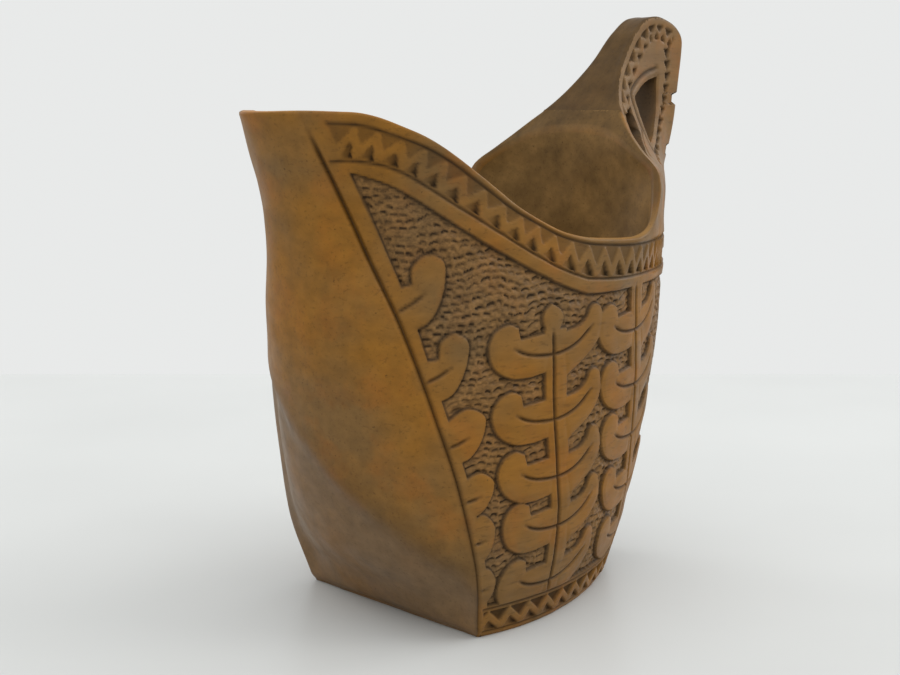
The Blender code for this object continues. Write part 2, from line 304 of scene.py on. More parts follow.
def inside_distance(u, v, outline):
    """Distance to a closed outline, positive inside it."""
    away, _ = line_distance(u, v, np.vstack([outline, outline[:1]]))
    inside = np.zeros(u.shape, bool)
    for (u0, v0), (u1, v1) in zip(outline, np.roll(outline, -1, axis=0)):
        if v0 != v1:
            crosses = (v0 > v) != (v1 > v)
            inside ^= crosses & (u < u0 + (v - v0) * (u1 - u0) / (v1 - v0))
    return np.where(inside, away, -away)


def near(u, v, points, margin):
    """The points of a patch that lie within a margin of an outline's box."""
    low = np.min(points, axis=0) - margin
    high = np.max(points, axis=0) + margin
    return (u > low[0]) & (u < high[0]) & (v > low[1]) & (v < high[1])


def add_raised(raised, u, v, outline):
    """Joins an outline's inside to the raised wood, as a distance in from its edge."""
    close = near(u, v, outline, 2.0)
    raised[close] = np.maximum(raised[close], inside_distance(u[close], v[close], outline))


def v_cut(away, deep=LINE_DEPTH, half=LINE_HALF):
    """Depth of a V-line at a distance from its middle."""
    return deep * np.clip(1 - np.abs(away) / half, 0, 1)


def add_line(depth, u, v, line, deep=LINE_DEPTH, half=LINE_HALF):
    """Cuts a V-line that runs out at its ends."""
    close = near(u, v, line, half)
    away, place_on_line = line_distance(u[close], v[close], line)
    left = path_lengths(line)[-1] - place_on_line
    run_out = smooth_step(0, 2.0, place_on_line) * smooth_step(0, 2.0, left)
    depth[close] = np.maximum(depth[close], v_cut(away, deep, half) * (0.35 + 0.65 * run_out))


def ripple(points, wavelength, seed):
    """A smooth wandering value, about -1 to 1, the same each run."""
    random = np.random.default_rng(seed)
    total = np.zeros(points.shape[:-1])
    for _ in range(7):
        direction = random.normal(size=3)
        direction *= random.uniform(0.7, 1.5) * 2 * math.pi / (wavelength * np.linalg.norm(direction))
        total += np.sin(points @ direction + random.uniform(0, 2 * math.pi))
    return total / 3.0


def scatter(cell, seed):
    """A fixed value from 0 to 1 for each whole number or pair of them."""
    value = np.sin(cell * 12.9898 + seed * 78.233) * 43758.5453
    return value - np.floor(value)


# ---- the wood's surface before the knife -----------------------------------------------------
STATIONS = 240          # columns in a look-up table, for each stretch of the outline
LEVEL = 0.5             # its step in height


def resample(points, count):
    lengths = path_lengths(points)
    at = np.linspace(0, lengths[-1], count + 1)
    return np.column_stack([np.interp(at, lengths, points[:, 0]), np.interp(at, lengths, points[:, 1]), at])


def lines_at(height, inset, hollow, stem_shift=STEM_SHIFT):
    """The lines plan at a height, for the wood or for an outline set in from it."""
    line = {name: float(curve(height)) for name, curve in LINE_CURVES.items()}
    line["corner_x"] -= inset
    line["corner_y"] += CORNER_SHIFT * inset
    line["stem_y"] += stem_shift * inset
    line["beam"] -= inset
    if hollow:
        line["rear_y"] = line["hollow_y"] + WALL - inset
        line["rear_x"] = 0.0
        line["fullness"] = line["hollow_fullness"]
    return line


def front_of(line):
    """The prow's face, from the centre line to its corner."""
    t = np.linspace(0, 1, STATIONS + 1)
    x = line["corner_x"] * t
    y = line["stem_y"] + (line["corner_y"] - line["stem_y"]) * t ** FRONT_FULLNESS
    return resample(np.column_stack([x, y]), STATIONS)


def flank_of(line):
    """The side, from the prow's corner to the rear edge, as closely spaced points."""
    start = math.acos(line["corner_x"] / line["beam"])
    depth = (line["beam_y"] - line["corner_y"]) / math.sin(start)
    angle = start * np.linspace(1, 0, 161)
    side = np.column_stack([line["beam"] * np.cos(angle), line["beam_y"] - depth * np.sin(angle)])
    t = np.sin(0.5 * math.pi * np.linspace(0, 1, 401)[1:])
    spread = np.clip(1 - t ** line["fullness"], 0, None) ** (1 / line["fullness"])
    rear_x = line["rear_x"] + (line["beam"] - line["rear_x"]) * spread
    rear_y = line["beam_y"] + (line["rear_y"] - line["beam_y"]) * t
    return np.vstack([side, np.column_stack([rear_x, rear_y])])


def split_at_seat(points):
    """A flank as two evenly spaced stretches, before and behind the handle's seat."""
    seat = (np.interp(SEAT_Y, points[:, 1], points[:, 0]), SEAT_Y)
    before = resample(np.vstack([points[points[:, 1] < SEAT_Y], seat]), STATIONS)
    behind = resample(np.vstack([seat, points[points[:, 1] > SEAT_Y]]), STATIONS)
    behind[:, 2] += before[-1, 2]
    return np.vstack([before, behind[1:]])


def hollow_inset(height):
    """Thickness of the side wall, with the rounded stretch just above the bottom."""
    rise = min(max((height - BOTTOM_THICKNESS) / FLOOR_RISE, 0.0), 1.0)
    return WALL + FLOOR_ROUND * (1 - rise) ** 2


def board_line(clearance):
    """The bottom board's upright edge: it follows the foot, and is straight in front."""
    return lines_at(0, FOOT_EDGE + clearance, True, CORNER_SHIFT)


def make_table(shape, hollow=False):
    """An outline's points at every level, as look_up() reads them."""
    levels = np.arange(0, TOP_LEVEL + LEVEL / 2, LEVEL)
    return np.array([shape(lines_at(z, hollow_inset(z) if hollow else 0.0, hollow)) for z in levels])


WOOD_FRONT = make_table(front_of)
WOOD_FLANK = make_table(lambda line: split_at_seat(flank_of(line)))
HOLLOW_FRONT = make_table(front_of, True)
HOLLOW_FLANK = make_table(lambda line: resample(flank_of(line), STATIONS), True)


def look_up(table, station, z):
    """(x, y, distance along) at stations and heights, between the table's entries."""
    row = np.clip(z / LEVEL, 0, table.shape[0] - 1.001)
    column = np.clip(station, 0, table.shape[1] - 1.001)
    i, j = row.astype(int), column.astype(int)
    u, v = (row - i)[..., None], (column - j)[..., None]
    low = table[i, j] * (1 - v) + table[i, j + 1] * v
    high = table[i + 1, j] * (1 - v) + table[i + 1, j + 1] * v
    return low * (1 - u) + high * u


def surface(table, station, z):
    """Points, outward normals and distances along, for arrays of stations and heights."""
    here = look_up(table, station, z)
    ahead = look_up(table, station + 1, z) - look_up(table, station - 1, z)
    above = look_up(table, station, z + 1) - look_up(table, station, z - 1)
    along = np.dstack([ahead[..., 0], ahead[..., 1], np.zeros_like(z)])
    rise = np.clip(z + 1, 0, TOP_LEVEL) - np.clip(z - 1, 0, TOP_LEVEL)
    up = np.dstack([above[..., 0], above[..., 1], rise])
    normals = np.cross(along, up)
    normals /= np.linalg.norm(normals, axis=-1, keepdims=True)
    points = np.dstack([here[..., 0], here[..., 1], z])
    return points, normals, here[..., 2]


def rim_level(table, stations, drop):
    """The height at which each column of a table meets the side line, by halving."""
    low = np.full(len(stations), SEAT_Z)
    high = np.full(len(stations), TOP_LEVEL)
    for _ in range(40):
        middle = 0.5 * (low + high)
        y = look_up(table, stations, middle)[:, 1]
        below = middle < worn_height(y, drop)
        low = np.where(below, middle, low)
        high = np.where(below, high, middle)
    return 0.5 * (low + high)


# ---- the carving on a flank --------------------------------------------------------------
def unrolled_rim():
    """Y against distance along the flank's top edge, for measuring distances near the rim."""
    stations = np.linspace(0, 2 * STATIONS, STATIONS)
    here = look_up(WOOD_FLANK, stations, rim_level(WOOD_FLANK, stations, 0))
    return here[:, 1], path_lengths(here[:, :2])


RIM_Y, RIM_ALONG = unrolled_rim()


def rim_line(start, end, level_after=None):
    """The rim on the unrolled flank. Behind level_after it runs on at the low point's height."""
    ys = np.arange(start, end, 1.5)
    zs = side_height(ys)
    if level_after is not None:
        zs = np.where(ys > level_after, np.minimum(zs, LOW_POINT_Z), zs)
    return np.column_stack([np.interp(ys, RIM_Y, RIM_ALONG), zs])


def zigzag(count, fall, width, period, deep=1.0, sunk=0.4):
    """A raised zigzag ribbon across a band: sunk above it and cut in triangles below it.

    fall runs from 0 at the band's upper line to width at its lower line. Each triangle slopes
    down to a steep wall on its rear side. Gives the depth and the shade painted in the cut.
    """
    side = (count - np.floor(count) - 0.5) * period
    peak, valley = 0.24 * width, 0.88 * width
    slope = 2 * (valley - peak) / period
    lift = (fall - peak - slope * np.abs(side)) / np.hypot(1, slope)
    chip = np.minimum(lift - RIBBON_HALF, width - fall)
    open_side = np.minimum(-lift - RIBBON_HALF, fall)
    steep = np.clip(0.5 + side / (0.5 * period), 0, 1)
    chip_depth = deep * smooth_step(0, 0.35, chip) * (0.25 + 0.75 * steep)
    sunk_depth = sunk * smooth_step(0, 0.35, open_side)
    # painted shade: darker towards each triangle's steep wall, and over the sunk strip
    dark = smooth_step(0, 0.3, chip) * (0.25 + 0.85 * steep ** 1.5) + sunk * smooth_step(0, 0.35, open_side)
    return np.maximum(chip_depth, sunk_depth), dark


def ribbon(count, fall, top, bottom, period, reach, soft=0.2, **cuts):
    """The depth and painted shade of a zigzag ribbon between two lines, as far as it reaches."""
    inside = smooth_step(0, soft, fall - top) * smooth_step(0, soft, bottom - fall) * reach
    depth, dark = zigzag(count, fall - top, bottom - top, period, **cuts)
    return inside * depth, inside * dark


def ground_marks(along, z, points):
    """Short gouge marks in rows, rising a little towards the rear, none quite like the next.

    Each one deepens upwards and ends under a steep lip. Gives the depth, the painted shadow under
    the lip and the painted highlight on the crest below the mark.
    """
    drift = 0.6 * ripple(points, 13.0, 3) + 0.25 * ripple(points, 4.0, 4)
    row = (z - 0.06 * along + drift) / MARK_HEIGHT
    row_number = np.floor(row)
    column = (along + 1.5 * drift) / MARK_LENGTH + scatter(row_number, 1)
    mark = np.floor(column) * 31 + row_number
    u = column - np.floor(column)
    bow = 0.22 * np.abs(2 * u - 1) ** 2
    v = row - row_number + bow + 0.3 * (scatter(mark, 2) - 0.5)
    strength = (0.35 + 0.65 * scatter(mark, 4)) * smooth_step(0, 0.25, u) * smooth_step(1, 0.75, u)
    depth = strength * np.clip(v / 0.8, 0, 1) ** 1.3 * smooth_step(1.0, 0.82, v)
    # painted shadow under each lip, and a painted highlight on the crest below it
    dark = strength * np.exp(-((v - 0.80) / 0.16) ** 2)
    crest = scatter(mark, 5) * np.exp(-((v - 0.22) / 0.16) ** 2)
    return depth, dark, crest


def leaf_frame(leaf, z, along):
    """Distance from a leaf's stem along the outline."""
    heights, ys = zip(*leaf["stem"])
    stem_y = smooth_curve(heights, ys)
    levels = np.arange(0, 90, 2.0)
    stem_along = []
    for level in levels:
        stretch = WOOD_FLANK[int(level / LEVEL)]
        stem_along.append(np.interp(stem_y(level), stretch[:, 1], stretch[:, 2]))
    return along - np.interp(z, levels, stem_along)


def carve_leaf(raised, depth, leaf, z, along):
    """A stem with its bud, its veins and a lobe at each end of each vein."""
    across = leaf_frame(leaf, z, along)
    stem = np.minimum(np.minimum(across - STEM_FRONT, STEM_REAR - across), leaf["top"] - z)
    np.maximum(raised, stem, out=raised)
    add_raised(raised, across, z, closed_outline(BUD) + (0, leaf["top"]))
    add_line(depth, across, z, np.array([(0, FOOT_BAND), (0, leaf["top"])]), 0.7, 0.6)
    for vein in leaf["veins"]:
        for lobe in (LOBE_FRONT, LOBE_REAR):
            add_raised(raised, across, z, closed_outline(lobe) + (0, vein))
        add_line(depth, across, z, np.array(stroke_points(VEIN)) + (0, vein), 0.65, 0.58)


def carve_half_leaves(raised, depth, leaves, z, from_border):
    """Half leaves that grow out of a border, each with a short vein."""
    for foot, top, reach in leaves:
        lift = (reach - 5.7) / 10
        size = top - foot

        def drawn(points):
            out, up = points.T
            return np.column_stack([out * reach, foot + size * (up + lift * out)])

        shape = ROUND_LEAF if reach < ROUND_REACH else NOTCHED_LEAF
        add_raised(raised, from_border, z, drawn(closed_outline(shape)))
        add_line(depth, from_border, z, drawn(np.array(HALF_VEIN)))


def add_cut(cut, depth, dark):
    """Keeps the deeper of two cuts and the darker of their painted shades."""
    np.maximum(cut["depth"], depth, out=cut["depth"])
    np.maximum(cut["dark"], dark, out=cut["dark"])


def carve_rim_band(cut, fall, travel, y, along, behind):
    """The band under the rim: a plain strip, a zigzag ribbon, a line and a plain strip."""
    strip = np.interp(y, BAND_Y, STRIP_FALL)
    line = np.interp(y, BAND_Y, LINE_FALL)
    reach = smooth_step(4.2, 5.0, along) * smooth_step(2.6, 3.4, behind)
    count = np.interp(travel, TOOTH_TRAVEL, TOOTH_COUNT)
    depth, dark = ribbon(count, fall, strip, line - LINE_GAP, RIM_TOOTH, reach, 0.25)
    lines = v_cut(fall - line) * smooth_step(1.0, 1.6, along)
    lines = np.maximum(lines, v_cut(fall - strip, 0.6, 0.6) * smooth_step(3.8, 5.0, along))
    # painted shade in the zigzag's cuts and in the incised lines
    add_cut(cut, np.maximum(depth, lines), np.maximum(dark, 1.7 * lines))


def carve_handle_band(cut, fall, travel, y, behind):
    """The same band on the handle, narrower."""
    reach = smooth_step(SEAT_Y, SEAT_Y + 1.0, y) * smooth_step(4.2, 5.0, behind)
    count = travel / HANDLE_TOOTH
    # with the ribbon's painted shade
    add_cut(cut, *ribbon(count, fall, HANDLE_STRIP, HANDLE_LINE, HANDLE_TOOTH, reach, sunk=0.75))


def carve_foot_band(cut, z, along):
    """The band round the foot: a zigzag ribbon between two lines."""
    low, high = FOOT_RIBBON
    count = along / FOOT_TOOTH
    reach = smooth_step(1.4, 2.2, along)
    depth, dark = ribbon(count, high - z, 0.0, high - low, FOOT_TOOTH, reach, deep=0.9, sunk=0.85)
    lines = np.maximum(v_cut(z - FOOT_LINES[0], 0.5, 0.5), v_cut(z - FOOT_LINES[1]))
    lines *= smooth_step(1.2, 1.6, along)
    # painted shade in the zigzag's cuts and in the incised lines
    add_cut(cut, np.maximum(depth, lines), np.maximum(dark, 1.6 * lines))


def carve_chip_row(cut, y, z):
    """A row of small triangular chips down the ear, behind and below the finger hole."""
    away, place_on_line = line_distance(y, z, np.array(CHIP_ROW, float))
    step = place_on_line / CHIP_STEP
    step -= np.floor(step)
    chip = np.minimum(1.35 * (1 - step) - away, step * CHIP_STEP)
    inside = smooth_step(0, 0.3, chip) * (place_on_line > 0)
    # the chips are painted dark, as shade
    add_cut(cut, 0.85 * inside, inside)


def carve_sunk_corner(cut, y, z):
    """The ear's front corner, sunk to the level of the pocket's edge."""
    inside = np.where(y > 50, inside_distance(y, z, np.array(SUNK_CORNER)), -9.0)
    # the sunk corner is painted darker, as shade
    add_cut(cut, SUNK_DEPTH * smooth_step(0, 0.4, inside), 0.7 * smooth_step(-0.3, 0.0, inside))


def carve_flank(points, along):
    """What the knife did at each point of a flank: its depth, the shade painted in its cuts, what is
    ground.

    Also gives the distances to the rear edge and to the handle's top.
    """
    y, z = points[..., 1], points[..., 2]
    flat = np.interp(y, RIM_Y, RIM_ALONG)
    behind = look_up(WOOD_FLANK, 2.0 * STATIONS, z)[..., 2] - along
    fall, travel = line_distance(flat, z, rim_line(-40, 104, LOW_POINT_Y))
    fall = np.where((y > LOW_POINT_Y) & (z > LOW_POINT_Z), -fall, fall)
    handle_fall, handle_travel = line_distance(flat, z, rim_line(48, 103.8))

    depth = np.zeros(z.shape)
    border = GROOVE_BORDER + 1.5 * smooth_step(60, 88, z) - along
    bands = np.maximum(np.interp(y, BAND_Y, BAND_FALL) - fall, FOOT_BAND + 0.25 - z)
    raised = np.maximum(bands, np.maximum(border, REAR_BORDER - behind))
    for leaf in LEAVES:
        carve_leaf(raised, depth, leaf, z, along)
    carve_half_leaves(raised, depth, GROOVE_LEAVES, z, along)
    carve_half_leaves(raised, depth, REAR_LEAVES, z, behind)

    # the veins and stems only mark raised wood
    depth *= smooth_step(0.1, 0.6, raised)
    ground = 1 - smooth_step(-0.30, 0.05, raised)
    mark_depth, mark_shadow, mark_highlight = ground_marks(along, z, points)
    wall_foot_shadow = np.exp(-((raised + 0.35) / 0.32) ** 2)
    cut = {"ground": ground}
    # painted shade in the veins and stems, the marks' painted shadows and highlights, and a painted shadow
    # along the foot of every raised wall
    cut["dark"] = np.maximum(1.7 * depth, ground * (1.5 * mark_shadow - 0.9 * mark_highlight))
    cut["dark"] = np.maximum(cut["dark"], 0.95 * wall_foot_shadow)
    depth = np.maximum(depth, 0.16 * (1 - smooth_step(0.0, 1.6, raised)) * (1 - ground))
    relief = RELIEF * (1 - 0.45 * smooth_step(-1.0, -3.5, raised))
    cut["depth"] = np.maximum(depth, ground * (relief + 0.6 * mark_depth))
    carve_rim_band(cut, fall, travel, y, along, behind)
    carve_handle_band(cut, handle_fall, handle_travel, y, behind)
    carve_chip_row(cut, y, z)
    carve_sunk_corner(cut, y, z)
    carve_foot_band(cut, z, along)
    return cut, behind, handle_fall


def prow_groove(distance, z):
    """Depth of the V-groove at a distance from the prow's corner."""
    fade = smooth_step(0, GROOVE_FADE, side_height(-30.0) - 2.0 - z)
    return GROOVE_DEPTH * np.clip(1 - distance / GROOVE_HALF, 0, 1) * fade


def worn_edge(distance):
    """How much wear has taken off at a distance from an edge."""
    return EDGE_DROP * np.clip(1 - distance / EDGE_REACH, 0, 1) ** 2


def worn_rim(points):
    return worn_edge(side_height(points[..., 1]) - points[..., 2])


def worn_foot(z):
    return FOOT_DROP * np.clip(1 - z / FOOT_REACH, 0, 1) ** 2


def hand_work(points, size, wavelength, seed):
    """Slight unevenness left by the knife, always into the wood."""
    return size * (0.5 + 0.5 * np.clip(ripple(points, wavelength, seed), -1, 1))


def flank_work(points):
    return hand_work(points, 0.10, 9.0, 13)


def top_height(points, edge):
    """Height of the rim's and the handle's top surface, at a distance from its nearer edge."""
    smoothed = hand_work(points * (1, 1, 0), 0.25, 15.0, 31) * smooth_step(0, 2.5, edge)
    return worn_height(points[..., 1], worn_edge(edge)) - smoothed


def prow_facet(x, z):
    """The prow's foot is pared back, below a soft crest that falls from one side to the other."""
    below_crest = FACET_MIDDLE - FACET_FALL * x - z
    # a band along the crest, which is painted darker as shade
    crest = np.exp(-((below_crest - 3) / 6) ** 2)
    return smooth_step(-1, 10, below_crest), crest


# ---- meshes ---------------------------------------------------------------------------------
# dark is shade painted into the colour, with some dirt, in the cuts and recesses, and a painted highlight
# where it is below zero; grey is the prow facet's grey, partly a painted reflection
VALUE_NAMES = ("dark", "ground", "grey", "part")

# what the value called part says of a point's wood
FLANK = 0.5
EAR = 0.75
INSIDE = 1.0
EAR_FRONT = 1.5


class Shell:
    """Patches of one closed surface. Each is a grid of points with the values its material reads."""

    def __init__(self, name):
        self.name = name
        self.points = []
        self.values = []
        self.faces = []
        self.flat = []
        self.count = 0

    def add(self, points, dark=0.0, ground=0.0, grey=0.0, part=0.0, flat=False, keep=None):
        """A grid of points. keep says which of its cells are there; flat ones have sharp borders."""
        rows, columns = points.shape[:2]
        values = np.zeros((rows, columns, len(VALUE_NAMES)))
        for index, value in enumerate((dark, ground, grey, part)):
            values[..., index] = value
        corner = np.arange(rows * columns).reshape(rows, columns) + self.count
        cells = np.dstack([corner[:-1, :-1], corner[:-1, 1:], corner[1:, 1:], corner[1:, :-1]])
        cells = cells.reshape(-1, 4) if keep is None else cells[keep]
        self.points.append(points.reshape(-1, 3))
        self.values.append(values.reshape(-1, len(VALUE_NAMES)))
        self.faces.append(cells)
        self.flat.append(np.full(len(cells), flat))
        self.count += rows * columns

    def add_both(self, points, **values):
        """A patch and its mirror image on the other side of the cup."""
        self.add(points, **values)
        self.add(points * (-1, 1, 1), **values)

    def build(self, material):
        mesh = bpy.data.meshes.new(self.name)
        mesh.from_pydata(place(np.vstack(self.points)), [], np.vstack(self.faces))
        values = np.vstack(self.values)
        for index, label in enumerate(VALUE_NAMES):
            layer = mesh.attributes.new(label, "FLOAT", "POINT")
            layer.data.foreach_set("value", values[:, index].astype(np.float32))
        layer = mesh.attributes.new("flat_part", "INT", "FACE")
        layer.data.foreach_set("value", np.concatenate(self.flat).astype(np.int32))
        weld(mesh)
        mesh.materials.append(material)
        piece = bpy.data.objects.new(self.name, mesh)
        bpy.context.scene.collection.objects.link(piece)
        return piece


def place(points):
    return (points - (0, ORIGIN_Y, 0)) * MM


def weld(mesh):
    """Joins the patches, turns every face outwards and marks the borders of the flat ones."""
    bm = bmesh.new()
    bm.from_mesh(mesh)
    bmesh.ops.remove_doubles(bm, verts=bm.verts, dist=0.004 * MM)
    bmesh.ops.recalc_face_normals(bm, faces=bm.faces)
    flat = bm.faces.layers.int["flat_part"]
    for face in bm.faces:
        face.smooth = True
    for edge in bm.edges:
        if len(edge.link_faces) == 2:
            edge.smooth = edge.link_faces[0][flat] == edge.link_faces[1][flat]
    bm.to_mesh(mesh)
    bm.free()


def between(start, end, steps):
    """Rows of points from one line of points to another."""
    t = np.linspace(0, 1, steps + 1)[:, None, None]
    return start * (1 - t) + end * t


def cup_body_shell():
    shell = Shell("carved_vessel")
    t = np.linspace(0, 1, FRONT_COLUMNS + 1)
    front_stations = STATIONS * (1 - (1 - t) ** CORNER_CROWDING)
    flank_stations = np.linspace(0, STATIONS, FLANK_COLUMNS + 1)
    rear_stations = STATIONS * (1 + np.linspace(0, 1, REAR_COLUMNS + 1))
    low = np.linspace(0, SEAT_Z, LOW_ROWS + 1)
    high = np.linspace(0, 1, HIGH_ROWS + 1)[1:]

    def heights(table, stations):
        top = rim_level(table, stations, EDGE_DROP)
        lower = np.repeat(low[:, None], len(stations), axis=1)
        return np.vstack([lower, SEAT_Z + high[:, None] * (top - SEAT_Z)])

    # the prow's face
    z = heights(WOOD_FRONT, front_stations)
    points, front_normals, along = surface(WOOD_FRONT, front_stations, z)
    from_corner = along[:, -1:] - along
    worn = worn_rim(points) + worn_foot(z)
    groove_at_front = prow_groove(from_corner, z)
    hand = hand_work(points, 0.30, 26.0, 11) + hand_work(points, 0.07, 7.0, 12)
    front_faces = []
    for side in (1, -1):
        facet, crest = prow_facet(side * points[..., 0], z)
        pared = (hand + FACET_DEPTH * facet * smooth_step(0, 9, z)) * smooth_step(0, 6, from_corner)
        front = points - front_normals * (groove_at_front + worn + pared)[..., None]
        front[0, :, 2] = 0
        # painted shade in the corner's groove and along the facet's crest
        front_faces.append((front, np.maximum(1.2 * groove_at_front, 0.26 * crest), facet))

    # the carved flank, up to the seat
    z = heights(WOOD_FLANK, flank_stations)
    points, normals, along = surface(WOOD_FLANK, flank_stations, z)
    cut, _, _ = carve_flank(points, along)
    groove = prow_groove(along, z)
    flank_depth = np.maximum(cut["depth"] * smooth_step(0.9, 1.6, along), groove)
    flank_depth += worn_rim(points) + worn_foot(z) + flank_work(points)
    # painted shade in the groove
    flank_dark = np.maximum(cut["dark"], 1.1 * groove)
    normals[:, 0] = normals[:, 0] + front_normals[:, -1]
    normals[:, 0] /= np.linalg.norm(normals[:, 0], axis=-1, keepdims=True)
    flank = points - normals * flank_depth[..., None]
    flank[0, :, 2] = 0
    for side, (front, dark, facet) in zip((1, -1), front_faces):
        front[:, -1] = flank[:, 0]
        shell.add(front * (side, 1, 1), dark=dark, grey=facet)

    # behind the seat, up to the shelf that the handle stands on
    z = np.repeat(low[:, None], REAR_COLUMNS + 1, axis=1)
    points, normals, along = surface(WOOD_FLANK, rear_stations, z)
    rear_cut, behind, _ = carve_flank(points, along)
    rear_depth = rear_cut["depth"] + worn_edge(behind) + worn_foot(z) + flank_work(points)
    rear = points - normals * rear_depth[..., None]
    rear[0, :, 2] = 0
    rear[:, 0] = flank[:LOW_ROWS + 1, -1]
    shell.add_both(flank, dark=flank_dark, ground=cut["ground"], part=FLANK)
    shell.add_both(rear, dark=rear_cut["dark"], ground=rear_cut["ground"], part=FLANK)
    rear_strip = between(rear[:, -1], rear[:, -1] * (-1, 1, 1), 2 * STRIP_COLUMNS)
    shell.add(rear_strip, part=FLANK)
    facets = [facet for _, _, facet in front_faces]
    add_mouth(shell, front, flank, rear, rear_strip, facets)
    return shell


def add_mouth(shell, front, flank, rear, rear_strip, facets):
    """The rim, the hollow, the seat and shelf for the handle, and the foot."""
    seat_columns = REAR_COLUMNS + STRIP_COLUMNS
    seat = between(flank[LOW_ROWS:, -1], flank[LOW_ROWS:, -1] * (-1, 1, 1), 2 * seat_columns)
    seat = seat.transpose(1, 0, 2)
    seat[:, 1:-1, 1] = SEAT_Y
    from_edge = seat[-1, 0, 0] - np.abs(seat[-1, 1:-1, 0])
    seat[-1, 1:-1, 2] = top_height(seat[-1, 1:-1], from_edge)
    shell.add(seat, flat=True, part=INSIDE)

    foot = np.vstack([front[0], flank[0, 1:], rear[0, 1:], rear_strip[1:STRIP_COLUMNS + 1, 0]])
    shelf_outer = np.vstack([rear[-1], rear_strip[1:STRIP_COLUMNS + 1, -1]])
    shelf_inner = seat[0, :seat_columns + 1]
    shell.add_both(between(shelf_inner, shelf_outer, 6), flat=True)

    # columns of the hollow, spaced as the wood outside is, at the rim and at the foot
    rim = np.vstack([front[-1], flank[-1, 1:], seat[-1, 1:seat_columns + 1]])
    share_rim = path_shares(rim[FRONT_COLUMNS:])
    share_foot = path_shares(foot[FRONT_COLUMNS:])
    front_share = path_shares(front[-1])
    top_front = rim_level(HOLLOW_FRONT, STATIONS * front_share, EDGE_DROP)
    top_flank = rim_level(HOLLOW_FLANK, STATIONS * share_rim, EDGE_DROP)
    ledge_z = BOTTOM_THICKNESS + FIT_GAP
    down = np.r_[1, np.linspace(0.994, 0, HOLLOW_ROWS)][:, None]

    def hollow_patch(table, share, top):
        z = ledge_z + down * (top - ledge_z)
        points, normals, _ = surface(table, STATIONS * share, z)
        worn = worn_rim(points) + hand_work(points, 0.35, 18.0, 21)
        return points + normals * (worn * smooth_step(0, 0.05, down))[..., None]

    hollow_front = hollow_patch(HOLLOW_FRONT, front_share, top_front)
    hollow_flank = hollow_patch(HOLLOW_FLANK, share_foot + down * (share_rim - share_foot), top_flank)
    hollow_flank[:, 0] = hollow_front[:, -1]
    hollow_front[:, 0, 0] = 0
    hollow_flank[:, -1, 0] = 0
    hollow = np.hstack([hollow_front, hollow_flank[:, 1:]])
    # the hollow's top row keeps the rim's outer tone, a thin painted highlight along the hollow's edge;
    # towards the seat it takes the inner tone
    to_rear = smooth_step(50, 62, rim[:, 1])
    edge_part = 0.25 + 0.69 * to_rear
    shell.add_both(hollow, part=np.where(down < 1, INSIDE, edge_part))

    rim_top = between(rim, hollow[0], RIM_ROWS)
    width = np.linalg.norm(rim - hollow[0], axis=-1)
    at_seat = np.arange(len(rim)) > FRONT_COLUMNS + FLANK_COLUMNS
    from_seat_edge = np.clip(flank[-1, -1, 0] - rim[:, 0], 0, None) * at_seat
    for i in range(1, RIM_ROWS):
        from_outside = i / RIM_ROWS * width + from_seat_edge
        from_hollow = (RIM_ROWS - i) / RIM_ROWS * width
        rim_top[i, :, 2] = top_height(rim_top[i], np.minimum(from_outside, from_hollow))
    row = np.arange(RIM_ROWS + 1)[:, None]
    from_sides = np.minimum(np.where(at_seat, RIM_ROWS, row), RIM_ROWS - row)
    inner_rows = smooth_step(0, 2, from_sides)
    tone_shift = inner_rows * to_rear
    # the rim's top is painted lighter, as a highlight, except towards the seat, where it takes the inner
    # tone and is darker
    rim_dark = 0.5 * tone_shift - 0.5 * (inner_rows - tone_shift)
    shell.add_both(rim_top, dark=rim_dark, part=edge_part + (1 - edge_part) * tone_shift)

    rebate = outline_points(board_line(0), front_share, share_foot)
    ledge = np.column_stack([rebate, np.full(len(rebate), ledge_z)])
    bottom = np.column_stack([rebate, np.zeros(len(rebate))])
    shell.add_both(between(hollow[-1], ledge, 2), flat=True, part=INSIDE)
    shell.add_both(between(ledge, bottom, 3), part=INSIDE)
    for side, facet in zip((1, -1), facets):
        # the facet's grey, with its painted reflection, runs onto the foot's edge
        grey = np.zeros((4, len(foot)))
        grey[-1, :FRONT_COLUMNS + 1] = facet[0]
        shell.add(between(bottom, foot, 3) * (side, 1, 1), flat=True, grey=grey)


def path_shares(points):
    lengths = path_lengths(points)
    return lengths / lengths[-1]


def outline_points(line, front_share, flank_share):
    """The (x, y) outline of a level at given shares of its front and of its flank."""
    station = np.arange(STATIONS + 1) / STATIONS
    front = front_of(line)
    flank = resample(flank_of(line), STATIONS)
    parts = []
    for table, share in ((front, front_share), (flank, flank_share[1:])):
        parts.append(np.column_stack([np.interp(share, station, table[:, axis]) for axis in (0, 1)]))
    return np.vstack(parts)


def notch_pull(z):
    """How far the handle's rear edge is cut back at a height."""
    pull = np.zeros(z.shape)
    for middle in NOTCH_Z:
        pull += smooth_step(0.5 * NOTCH_HEIGHT + 0.15, 0.5 * NOTCH_HEIGHT - 0.15, np.abs(z - middle))
    return NOTCH_DEPTH * pull


